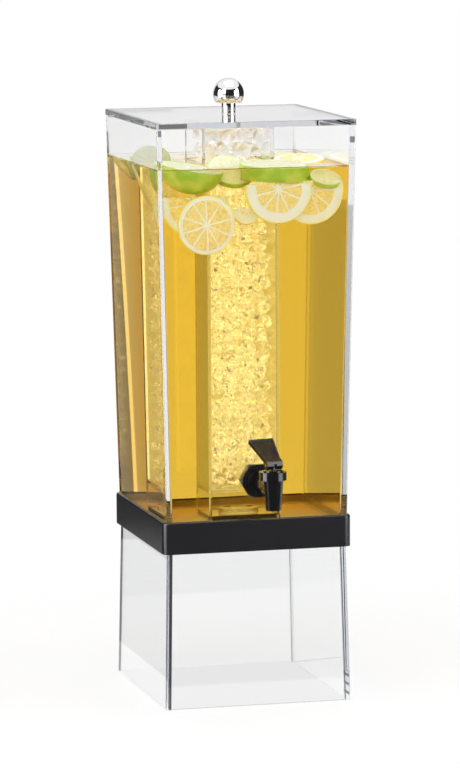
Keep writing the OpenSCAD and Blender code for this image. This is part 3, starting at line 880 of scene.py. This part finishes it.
# %% [markdown]
# ## Drink
#
# A drink in a clear box is easy to get wrong: if it only touches the walls, rays meet two faces in one
# place, and if it stays clear of them, a film of air shines like a mirror. So the drink reaches a hair
# into the walls. Its faces then bend the light on the way in and out in the right total amount. Its colour
# comes from absorption in depth, which makes thin layers pale and thick ones golden. Along the walls the
# surface climbs a little, as water does. The room under the ice shelf is filled as well, round the boss.

# %% Drink
drink_finish, shader = clear_finish("golden_drink", DRINK_IOR)
feed(0, shader.inputs["Roughness"])
absorb(shader, (0.9696, 0.8116, 0.0145), 13.8)

LEVEL, DRINK_LOW = 0.566, FLOOR - OVERLAP
CLIMB = [(0.0, 0.0016), (0.0006, 0.0009), (0.0015, 0.0004), (0.004, 0.0)]
DRINK_CORNER = 0.0018


def drink_size(z):
    """The drink's outside at a height, a hair inside the walls."""
    return grown(reservoir_size(z), -SHEET + OVERLAP)


hole = grown(CORE_SIZE, -OVERLAP)
rings = [rectangle_ring(drink_size(DRINK_LOW), DRINK_CORNER, DRINK_LOW)]
for inset, rise in CLIMB:
    rings.append(rectangle_ring(grown(drink_size(LEVEL), -inset), DRINK_CORNER, LEVEL + rise))
for inset, rise in reversed(CLIMB):
    rings.append(rectangle_ring(grown(hole, inset), CORE_CORNER + inset, LEVEL + rise))
rings.append(rectangle_ring(hole, CORE_CORNER, DRINK_LOW))
drink = even_faces(as_object("drink", skin(rings, closed=True)))
dress(drink, "reservoir", drink_finish)

pool = as_object("drink_under_core", bore_block(DRINK_LOW, ICE_SHELF + OVERLAP, 0.0002))
boss_room = rod(BOSS_RADIUS - OVERLAP, FLOOR - BOSS_ROOT, boss_top - OVERLAP)
combine(pool, as_object("boss_room", boss_room), "DIFFERENCE")
dress(even_faces(pool), "reservoir", drink_finish)

# %% [markdown]
# ## Ice
#
# The tube is filled with small clear chips of ice. Hundreds of alike but not equal things are work for
# Geometry Nodes: a lattice of points fills the tube, each point is pushed a little off its place, and one
# of a few chip shapes is set on it with a random turn and size. The seed is fixed, so the ice is the same
# each time. At the end the instances become real, get their material, and are turned into a plain mesh.
#
# Light that goes to and fro between the chips makes a column of ice brighter than a path tracer finds in
# reasonable time. So the ice has a faint glow of its own up to the drink's level. Above it the chips are
# frosted, and their surface is duller.

# %% Ice chip shapes
CHIP_SHAPES, CHIP_POINTS = 5, 13
CHIP_RADIUS, LEAST_REACH = 0.0098, 0.78
chip_box = bpy.data.collections.new("ice_chip_shapes")
draw = random.Random(11)
for number in range(CHIP_SHAPES):
    form = bmesh.new()
    for _ in range(CHIP_POINTS):
        direction = Vector([draw.gauss(0, 1) for _ in range(3)]).normalized()
        form.verts.new(direction * CHIP_RADIUS * draw.uniform(LEAST_REACH, 1.0))
    bmesh.ops.convex_hull(form, input=form.verts)
    chip_data = bpy.data.meshes.new(f"ice_chip_{number}")
    form.to_mesh(chip_data)
    form.free()
    chip_box.objects.link(bpy.data.objects.new(f"ice_chip_{number}", chip_data))

# %% Ice finish
ice_finish, shader = clear_finish("clear_ice", ICE_IOR)
bump(shader, object_noise(shader, 90, 2), 0.12, 0.0008)
feed((1, 1, 1, 1), shader.inputs["Emission Color"])
height = object_height(shader)
feed(ranged(height, 0.545, 0.575, 0.045, 0.0), shader.inputs["Emission Strength"])
melting = ranged(object_noise(shader, 160, 3), 0.45, 0.8, 0.0, 0.04)
frosting = ranged(height, 0.55, 0.572, 0.0, 0.28)
feed(maths("ADD", melting, frosting), shader.inputs["Roughness"])
print(ice_finish.name, "bends light by", ICE_IOR)

# %% Ice tree and its inputs
ICE_INPUTS = [
    ("Chips across", "NodeSocketInt", 4),
    ("Layers", "NodeSocketInt", 27),
    ("Spacing", "NodeSocketFloat", 0.0162),
    ("Lowest", "NodeSocketFloat", ICE_SHELF_TOP + 0.0100),
    ("Layer height", "NodeSocketFloat", 0.0138),
    ("Jitter", "NodeSocketFloat", 0.0019),
    ("Seed", "NodeSocketInt", 4),
    ("Chips", "NodeSocketCollection", chip_box),
    ("Finish", "NodeSocketMaterial", ice_finish),
]
ice_tree = bpy.data.node_groups.new("ice_in_a_square_tube", "GeometryNodeTree")
new_socket = ice_tree.interface.new_socket
new_socket("Geometry", in_out="INPUT", socket_type="NodeSocketGeometry")
ice_settings = {}
for label, kind, value in ICE_INPUTS:
    ice_settings[new_socket(label, in_out="INPUT", socket_type=kind).identifier] = value
new_socket("Geometry", in_out="OUTPUT", socket_type="NodeSocketGeometry")
start = ice_tree.nodes.new("NodeGroupInput")
given = start.outputs
print(ice_tree.name, "has", len(ice_settings), "inputs")

# %% Lattice of points
across = given["Chips across"]
in_layer = maths("MULTIPLY", across, across)
index = add_node(start, "GeometryNodeInputIndex", {}).outputs[0]
half = maths("MULTIPLY", maths("SUBTRACT", across, 1), 0.5)
column = maths("FLOORED_MODULO", index, across)
row = maths("FLOORED_MODULO", maths("FLOOR", maths("DIVIDE", index, across)), across)
layer = maths("FLOOR", maths("DIVIDE", index, in_layer))
lattice = add_node(start, "ShaderNodeCombineXYZ", {
    "X": maths("MULTIPLY", maths("SUBTRACT", column, half), given["Spacing"]),
    "Y": maths("MULTIPLY", maths("SUBTRACT", row, half), given["Spacing"]),
    "Z": maths("ADD", maths("MULTIPLY", layer, given["Layer height"]), given["Lowest"]),
})
print("the lattice takes", len(ice_tree.nodes), "nodes")

# %% Random push, turn and size
def random_values(kind, low, high, salt):
    """A random value per point between low and high."""
    node = add_node(start, "FunctionNodeRandomValue", {})
    node.data_type = kind
    for label, value in (("Min", low), ("Max", high), ("Seed", maths("ADD", given["Seed"], salt))):
        feed(value, next(s for s in node.inputs if s.name == label and s.enabled))
    return next(s for s in node.outputs if s.enabled)


def random_vectors(low, high, salt):
    """A random vector per point, each part of it between low and high."""
    return random_values("FLOAT_VECTOR", (low, low, low), (high, high, high), salt)


jitter = add_node(start, "ShaderNodeCombineXYZ", dict.fromkeys("XYZ", given["Jitter"]))
pushed = add_node(start, "ShaderNodeVectorMath", {})
pushed.operation = "MULTIPLY_ADD"
for value, socket in zip((random_vectors(-1, 1, 0), jitter.outputs[0], lattice.outputs[0]), pushed.inputs):
    feed(value, socket)
points = add_node(start, "GeometryNodePoints", {
    "Count": maths("MULTIPLY", in_layer, given["Layers"]), "Position": pushed.outputs[0]})
shapes = add_node(start, "GeometryNodeCollectionInfo", {
    "Collection": given["Chips"], "Separate Children": True, "Reset Children": True})
chips = add_node(start, "GeometryNodeInstanceOnPoints", {
    "Points": points.outputs[0], "Instance": shapes.outputs[0], "Pick Instance": True,
    "Instance Index": random_values("INT", 0, CHIP_SHAPES - 1, 1),
    "Rotation": random_vectors(0, 6.28, 2), "Scale": random_vectors(0.85, 1.0, 3),
})
print("the chips take", len(ice_tree.nodes), "nodes")

# %% Ice chips
real = add_node(start, "GeometryNodeRealizeInstances", {"Geometry": chips.outputs[0]})
coated = add_node(start, "GeometryNodeSetMaterial", {
    "Geometry": real.outputs[0], "Material": given["Finish"]})
add_node(start, "NodeGroupOutput", {"Geometry": coated.outputs[0]})

ice = bpy.data.objects.new("ice_chips", bpy.data.meshes.new("ice_chips"))
scene.collection.objects.link(ice)
modifier = ice.modifiers.new("Ice", "NODES")
modifier.node_group = ice_tree
for identifier, value in ice_settings.items():
    modifier[identifier] = value
settle(ice)
dress(ice, "core", ice_finish)

# %% [markdown]
# ## Citrus
#
# Lemon wheels and thick lime slices float at the surface. A wheel is a disc whose two cut faces show
# juicy segments between thin walls, a white ring of pith and a coloured peel. Each ring of points knows
# how far out it is, so the same numbers shape the segments and are stored as attributes for the colour.
# Juicy flesh lets light wander through it, which a faint glow in its own colour stands for.

# %% Citrus finishes
def stored_share(shader, name):
    """A share that is stored on the points of the mesh."""
    node = add_node(shader, "ShaderNodeAttribute", {})
    node.attribute_name = name
    return node.outputs["Fac"]


def blend(first, second, share):
    """A mix of two colours."""
    node = share.id_data.nodes.new("ShaderNodeMix")
    node.data_type = "RGBA"
    for label, value in (("A", first), ("B", second), ("Factor", share)):
        feed(value, node.inputs[label])
    return node.outputs["Result"]


def citrus_finish(name, flesh, pith, peel, glow):
    """Flesh with a paler grain, pith round it, and a peel with yellow spots."""
    material, shader = new_finish(name, {"Emission Strength": glow, "Roughness": 0.45, "IOR": 1.36})
    peel_share = stored_share(shader, "peel")
    juice = object_noise(shader, 420, 4)
    paler = [min(1, c * 1.25 + 0.05) for c in flesh]
    yellower = [0.6 * p + 0.4 * q for p, q in zip(peel, (0.95, 0.9, 0.25))]
    wet = blend((*flesh, 1), (*paler, 1), ranged(juice, 0.35, 0.65, 0, 1))
    inner = blend((*pith, 1), wet, stored_share(shader, "pulp"))
    zest = blend((*peel, 1), (*yellower, 1), ranged(object_noise(shader, 55, 2), 0.4, 0.65, 0, 1))
    for label in ("Base Color", "Emission Color"):
        feed(blend(inner, zest, peel_share), shader.inputs[label])
    feed(ranged(peel_share, 0, 1, 0.2, 0.0), shader.inputs["Transmission Weight"])
    bump(shader, juice, 0.3, 0.0006)
    return material


lemon = citrus_finish("lemon", (0.79, 0.65, 0.255), (0.875, 0.93, 0.97), (0.86, 0.74, 0.10), 0.105)
lime = citrus_finish("lime", (0.70, 0.70, 0.48), (0.84, 0.84, 0.62), (0.36, 0.56, 0.05), 0.03)
# A darker copy of the lime finish, without glow, is painted shade for the lime wheel at the left.
dusky_lime = citrus_finish("dusky_lime", (0.46, 0.49, 0.27), (0.54, 0.56, 0.34), (0.34, 0.50, 0.08), 0)
print("finishes:", lemon.name, lime.name, dusky_lime.name)

# %% Citrus shapes
AROUND, DOME_STEPS = 160, 13
CORE_SHARE, PEEL_SHARE = 0.22, 0.94
WALL_HALF, WALL_EASE = 0.0004, 0.0007
JUICY_RISE, RIM_DROP = 0.0005, 0.0004


def wall_share(reach, angle, walls):
    """0 on the thin walls between segments and 1 well inside a segment."""
    nearest = min(abs((angle - wall + math.pi) % (2 * math.pi) - math.pi) for wall in walls)
    return min(1, max(0, (nearest * reach - WALL_HALF) / WALL_EASE))


def cut_face(side, radius, thickness, pith, walls):
    """The rings of one cut face from its middle outwards, each with its shares of pulp and of peel."""
    rows = [([Vector((0, 0, side * thickness / 2))], [0], [0])]
    shares = [0.05, 0.09, 0.14, CORE_SHARE]
    shares += [CORE_SHARE + (pith - CORE_SHARE) * k for k in (0.25, 0.5, 0.72, 0.88, 0.96, 1.0)]
    shares += [pith + 0.03, (pith + 0.97) / 2, 0.95, 0.98]
    for share in shares:
        ring = circle(share * radius, 0, AROUND)
        pulp = [0] * AROUND
        for i in range(AROUND):
            if 0.07 < share <= pith:
                pulp[i] = wall_share(share * radius, 2 * math.pi * i / AROUND, walls)
            ring[i].z = side * (thickness / 2 + JUICY_RISE * pulp[i] - (RIM_DROP if share > 0.9 else 0))
        rows.append((ring, pulp, [max(0, (share - PEEL_SHARE) / 0.06)] * AROUND))
    return rows


def peel_band(radius, z):
    """One ring of peel."""
    return circle(radius, z, AROUND), [0] * AROUND, [1] * AROUND


def cut_off(piece, y):
    """Takes away what lies past y, and closes the cut."""
    form = bmesh.new()
    form.from_mesh(piece.data)
    sliced = bmesh.ops.bisect_plane(form, geom=form.verts[:] + form.edges[:] + form.faces[:],
                                    plane_co=(0, y, 0), plane_no=(0, 1, 0), clear_outer=True)
    rim = [part for part in sliced["geom_cut"] if isinstance(part, bmesh.types.BMEdge)]
    bmesh.ops.holes_fill(form, edges=rim)
    form.to_mesh(piece.data)
    form.free()


def aimed(facing):
    """The turn that points an upright axis along a direction."""
    axis = Vector(facing).normalized()
    side = (Vector((0, 0, 1)) if abs(axis.z) < 0.75 else Vector((0, 1, 0))).cross(axis)
    side.normalize()
    return Matrix((side, axis.cross(side), axis)).transposed().to_4x4()


def citrus(seed, name, finish, radius, thickness, place, facing, turn, pith=0.76, dome=0.0, long=1.0,
           cut=None, segments=10):
    """A slice of citrus. Its axis points along facing, its pulp reaches to the pith's share of the radius.

    A dome makes its far side a fruit's end, long stretches it, and cut takes away what is above that share.
    """
    draw = random.Random(seed)
    walls = [(k + draw.uniform(-0.16, 0.16)) * (2 * math.pi / segments) for k in range(segments)]
    rows = cut_face(1, radius, thickness, pith, walls)
    if dome:
        for step in range(DOME_STEPS):
            swing = math.pi / 2 * step / DOME_STEPS
            z = -thickness / 2 - dome * math.sin(swing) + thickness * (1 - step / (DOME_STEPS - 1))
            rows.append(peel_band(math.cos(swing) ** 0.8 * radius, z))
        rows.append(([Vector((0, 0, -thickness / 2 - dome))], [0], [1]))
    else:
        for z in (0.42, 0.2, 0, -0.2, -0.42):
            rows.append(peel_band((1.0 + 0.012 * (1 - (z / 0.42) ** 2)) * radius, z * thickness))
        rows += reversed(cut_face(-1, radius, thickness, pith, walls))
    rings, pulp, peel = zip(*rows)
    piece = as_object(name, skin(list(rings)))
    for label, shares in (("pulp", pulp), ("peel", peel)):
        attribute = piece.data.attributes.new(label, "FLOAT", "POINT")
        attribute.data.foreach_set("value", [share for row in shares for share in row])
    piece.data.transform(Matrix.Diagonal((long, 1, 1, 1)) @ Matrix.Rotation(turn, 4, "Z"))
    if cut is not None:
        cut_off(piece, cut * radius)
    piece.data.shade_smooth()
    piece.data.transform(Matrix.Translation(Vector(place) / 1000) @ aimed(facing))
    dress(piece, "reservoir", finish)


print("a slice has", AROUND, "points on each ring")

# %% Citrus at the front wall
citrus(1, "lemon_front", lemon, 0.0308, 0.0060, (-52, -103, 509), (0.05, -1, -0.02), 0.3, 0.84)
citrus(2, "lemon_right", lemon, 0.0355, 0.0060, (26, -101, 544), (0.02, -1, 0.03), 0.8, 0.68, cut=0.15)
citrus(3, "lemon_far_right", lemon, 0.0350, 0.0060, (62, -93, 541), (-0.05, -1, 0.03), 0.1, 0.70, cut=0.3,
       segments=9)
citrus(6, "lemon_behind", lemon, 0.0350, 0.0060, (-62, -90, 531), (0.02, -1, 0.03), 0.1, 0.80, cut=0.2)
citrus(4, "lime_left", lime, 0.0270, 0.0050, (-63, -80, 565), (0.16, -0.12, 1), 0.5, dome=0.022, long=1.24)
citrus(5, "lime_right", lime, 0.0265, 0.0160, (27, -79, 561), (0.03, -0.10, 1), 0.2, long=1.38)

# %% Citrus afloat
citrus(7, "lemon_left_back", lemon, 0.0330, 0.0055, (-72, 74, 555), (0.27, -0.12, 0.95), 0.2)
citrus(8, "lime_left_back", lime, 0.0250, 0.0060, (-66, 52, 561), (0.25, -0.12, 0.95), 0.2)
citrus(9, "lemon_left", lemon, 0.0310, 0.0055, (-72, -4, 545), (0.48, -0.35, 0.79), 0.2)
citrus(10, "lemon_left_low", lemon, 0.0200, 0.0050, (-84, -46, 541), (0.59, -0.48, 0.62), 0.2)
# This wheel takes the lime finish with painted shade.
citrus(11, "lime_left_wheel", dusky_lime, 0.0185, 0.0050, (-78, 20, 565), (-0.30, -0.85, 0.43), 0.2)
citrus(12, "lime_centre", lime, 0.0230, 0.0060, (-17, -64, 561), (0.05, -0.6, 0.8), 0.4)
citrus(13, "lemon_right_back", lemon, 0.0270, 0.0060, (70, -22, 566), (-0.05, -0.12, 1), 0.3)
citrus(14, "lime_right_back", lime, 0.0240, 0.0060, (66, 42, 566), (0.1, -0.1, 1), 0.3)
citrus(15, "lemon_scrap", lemon, 0.0150, 0.0055, (-6, -86, 522), (-0.1, -0.97, 0.25), 0.3, 0.4, cut=0.1)
citrus(16, "lime_right_end", lime, 0.0170, 0.0055, (79, -88, 553), (0.1, -0.45, 0.88), 0.3)

# %% [markdown]
# ## Pieces kept from the CAD model
#
# The gaskets, the valve inside the tap, the screw of the knob and the plate in the foot of the core already
# have the right shape, so they stay and only get finishes: rubber, pale silicone, dark plastic, brushed
# steel, white nylon for the screw, and for the plate the acrylic that lies in the drink.

# %% Kept pieces
KEPT_FINISHES = [
    ("black_rubber", (0.02, 0.02, 0.02), 500, 0.6, 0.8, ["outer_gasket", "inner_gasket", "bonnet_seal"]),
    ("valve_plastic", (0.12, 0.12, 0.12), 300, 0.3, 0.45, ["valve_stem"]),
    ("white_nylon", (0.85, 0.85, 0.84), 300, 0.4, 0.55, ["knob_screw"]),
    ("silicone", (0.72, 0.72, 0.70), 300, 0.5, 0.65, ["seat_cup"]),
]
steel, shader = new_finish("brushed_steel", {"Base Color": (0.62, 0.62, 0.63, 1), "Metallic": 1})
uneven(shader, 700, 0.18, 0.32, detail=2, stretch=(1, 1, 0.05))
kept = {"valve_spring": steel, "lever_pin": steel, "core_locator": sunk_acrylic}
for name, colour, grain, low, high, nodes in KEPT_FINISHES:
    material, shader = new_finish(name, {"Base Color": (*colour, 1)})
    uneven(shader, grain, low, high)
    kept.update(dict.fromkeys(nodes, material))
for node, material in kept.items():
    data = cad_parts[node].data
    data.materials.clear()
    data.materials.append(material)
print(len(kept), "CAD nodes kept")
